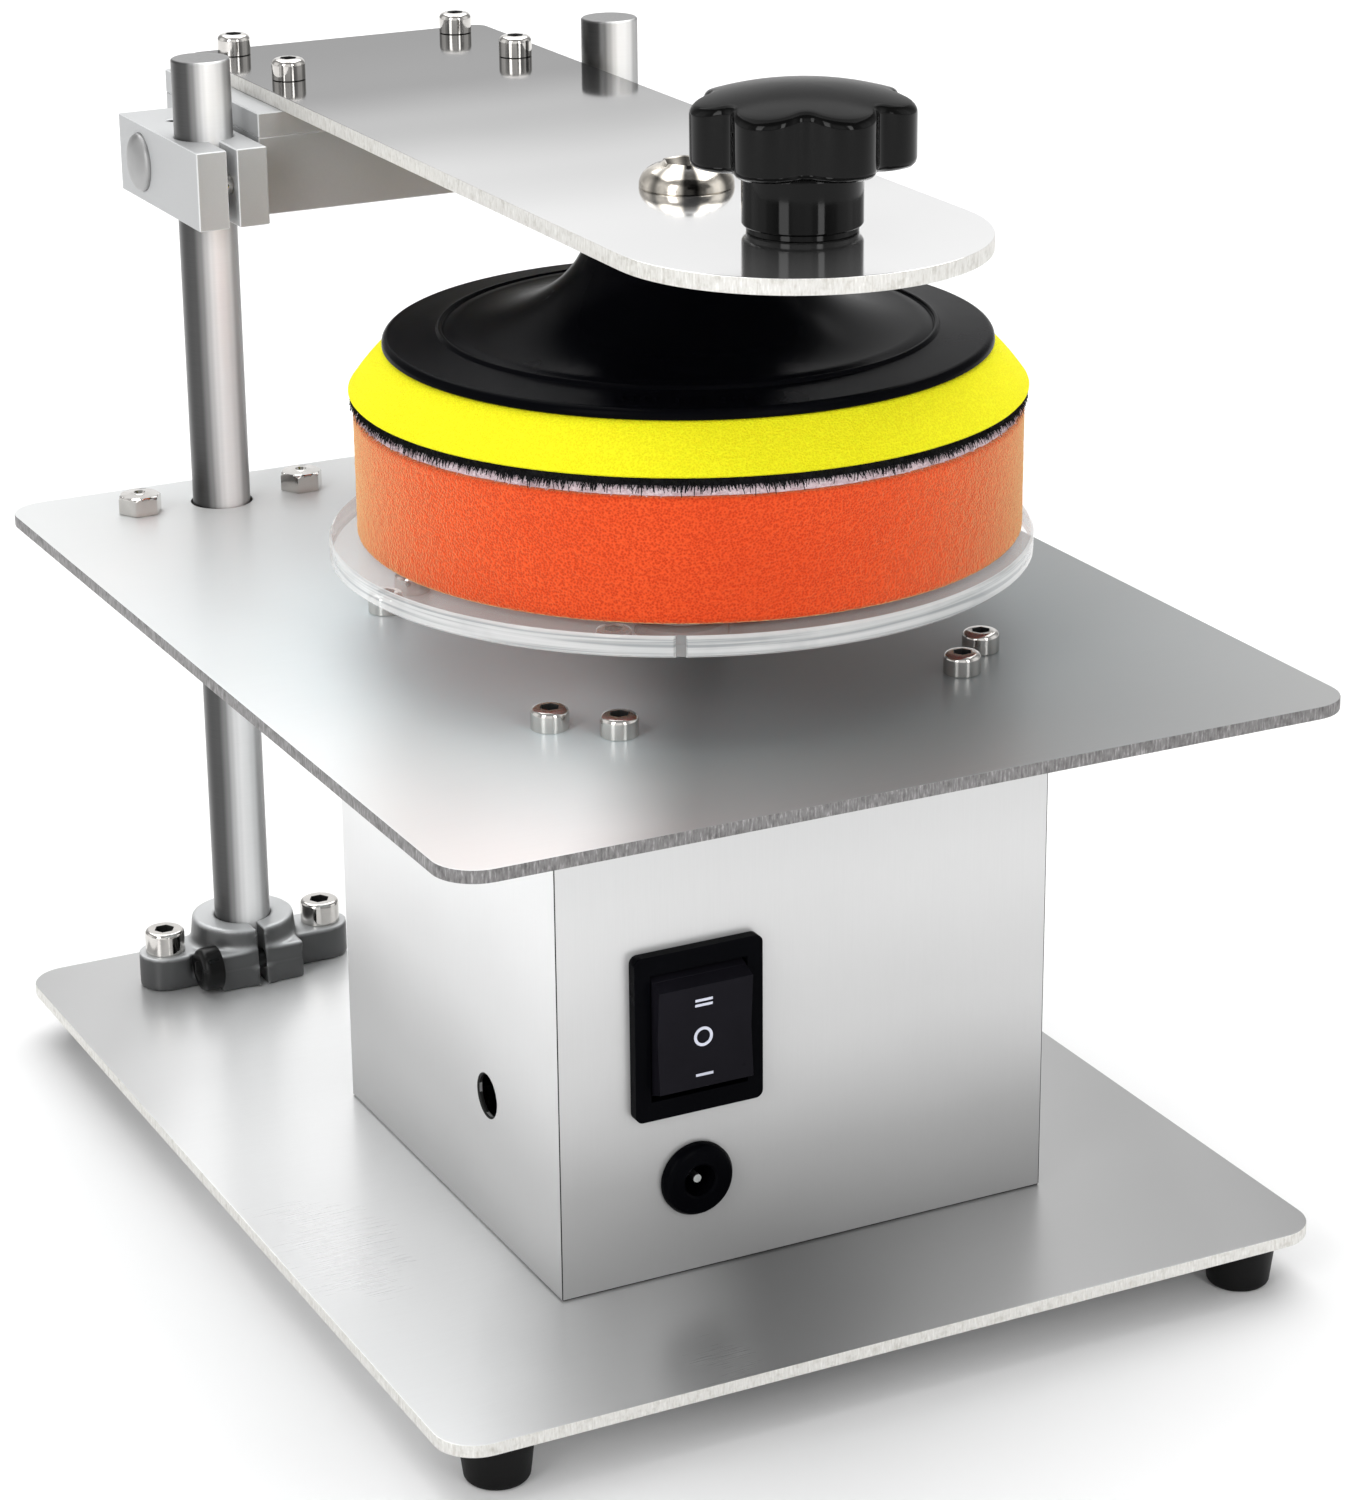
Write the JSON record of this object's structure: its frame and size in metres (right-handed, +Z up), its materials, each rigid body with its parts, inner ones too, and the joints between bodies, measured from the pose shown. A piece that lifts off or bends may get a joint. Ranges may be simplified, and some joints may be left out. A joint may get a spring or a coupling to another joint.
{
  "type": "bench polishing machine",
  "caption": "Bench lapping and polishing machine: a motor box carries a clear driven disc, and a lifting arm on two columns holds a free-turning sponge pad on it.",
  "frame": {"origin": "centre of the base plate's plan, on the surface that the feet stand on", "axes": "+X to the right seen from the switch side, +Y to the back where the columns stand, +Z up"},
  "size_m": [0.18, 0.261, 0.2305],
  "materials": {
    "stainless_sheet": "brushed stainless sheet with a sheared, slightly rough edge",
    "box_sheet": "bright brushed stainless sheet",
    "bright_steel": "polished stainless screw heads, nuts and bolts",
    "ground_rod": "hard-chromed ground rod",
    "cast_aluminium": "matt cast or machined aluminium",
    "blackened_steel": "black oxide screws",
    "motor_steel": "zinc-plated and varnished motor steel",
    "plain_steel": "turned steel",
    "copper_winding": "enamelled copper winding on a laminated core",
    "brass_tab": "plated brass tabs",
    "black_rubber": "soft black rubber",
    "black_moulding": "black moulded plastic, satin",
    "knob_phenolic": "glossy black phenolic",
    "nylon": "natural nylon",
    "clear_acrylic": "clear acrylic with a polished edge",
    "wire_insulation": "red wire insulation",
    "yellow_foam": "dense lemon-yellow foam",
    "hook_fabric": "black hook tape",
    "loop_fabric": "off-white loop cloth",
    "orange_foam": "open-cell orange polishing sponge"
  },
  "bodies": {
    "frame": {"base_plate": "stainless_sheet", "rubber_feet": "black_rubber", "foot_screws": "bright_steel", "box_wrap": "box_sheet", "box_back_panel": "box_sheet", "box_rivet_nuts": "bright_steel", "base_screws": "bright_steel", "deck_plate": "stainless_sheet", "deck_screws": "bright_steel", "base_flange_left": "cast_aluminium", "base_flange_right": "cast_aluminium", "deck_flange_left": "cast_aluminium", "deck_flange_right": "cast_aluminium", "base_flange_screws": "bright_steel", "base_flange_nuts": "bright_steel", "deck_flange_bolts": "bright_steel", "deck_flange_nuts": "bright_steel", "flange_pinch_screws": "blackened_steel", "column_left": "ground_rod", "column_right": "ground_rod", "motor_case": "motor_steel", "motor_end_cap": "black_moulding", "motor_terminals": "brass_tab", "motor_screws": "bright_steel", "switch_case": "black_moulding", "switch_terminals": "brass_tab", "power_socket": "black_moulding", "socket_pin": "plain_steel", "socket_nut": "bright_steel", "wiring": "wire_insulation"},
    "lap": {"spindle": "plain_steel", "armature": "copper_winding", "lap_hub": "cast_aluminium", "lap_disc": "clear_acrylic", "lap_screws": "bright_steel"},
    "rocker": {"switch_rocker": "black_moulding"},
    "carriage": {"clamp_block_left": "cast_aluminium", "clamp_block_right": "cast_aluminium", "clamp_screws": "bright_steel", "hinge_shaft": "ground_rod", "shaft_grub_screws": "blackened_steel", "hinge_washers": "nylon"},
    "arm": {"hinge_block": "cast_aluminium", "arm_riser": "cast_aluminium", "arm_plate": "stainless_sheet", "arm_screws": "bright_steel", "star_knob": "knob_phenolic", "knob_stud": "plain_steel", "knob_nut": "bright_steel", "pivot_bolt": "bright_steel", "thrust_washer": "bright_steel", "pivot_lock_nut": "bright_steel"},
    "pad": {"backing_pad": "black_moulding", "pad_insert": "plain_steel", "pad_foam": "yellow_foam", "hook_layer": "hook_fabric", "loop_layer": "loop_fabric", "sponge": "orange_foam"}
  },
  "joints": [
    {"name": "lap_spin", "type": "hinge", "parent": "frame", "child": "lap", "pos_m": [0.001, -0.0245, 0.1362], "axis": [0, 0, 1], "continuous": true},
    {"name": "switch_rock", "type": "hinge", "parent": "frame", "child": "rocker", "pos_m": [-0.0228, -0.0725, 0.0622], "axis": [1, 0, 0], "range_deg": [-10, 10]},
    {"name": "height_slide", "type": "slide", "parent": "frame", "child": "carriage", "axis": [0, 0, 1], "range_m": [0, 0.015]},
    {"name": "arm_lift", "type": "hinge", "parent": "carriage", "child": "arm", "pos_m": [0, 0.1146, 0.1885], "axis": [-1, 0, 0], "range_deg": [0, 100]},
    {"name": "pad_spin", "type": "hinge", "parent": "arm", "child": "pad", "pos_m": [0.0025, -0.025, 0.199], "axis": [0, 0, 1], "continuous": true}
  ]
}
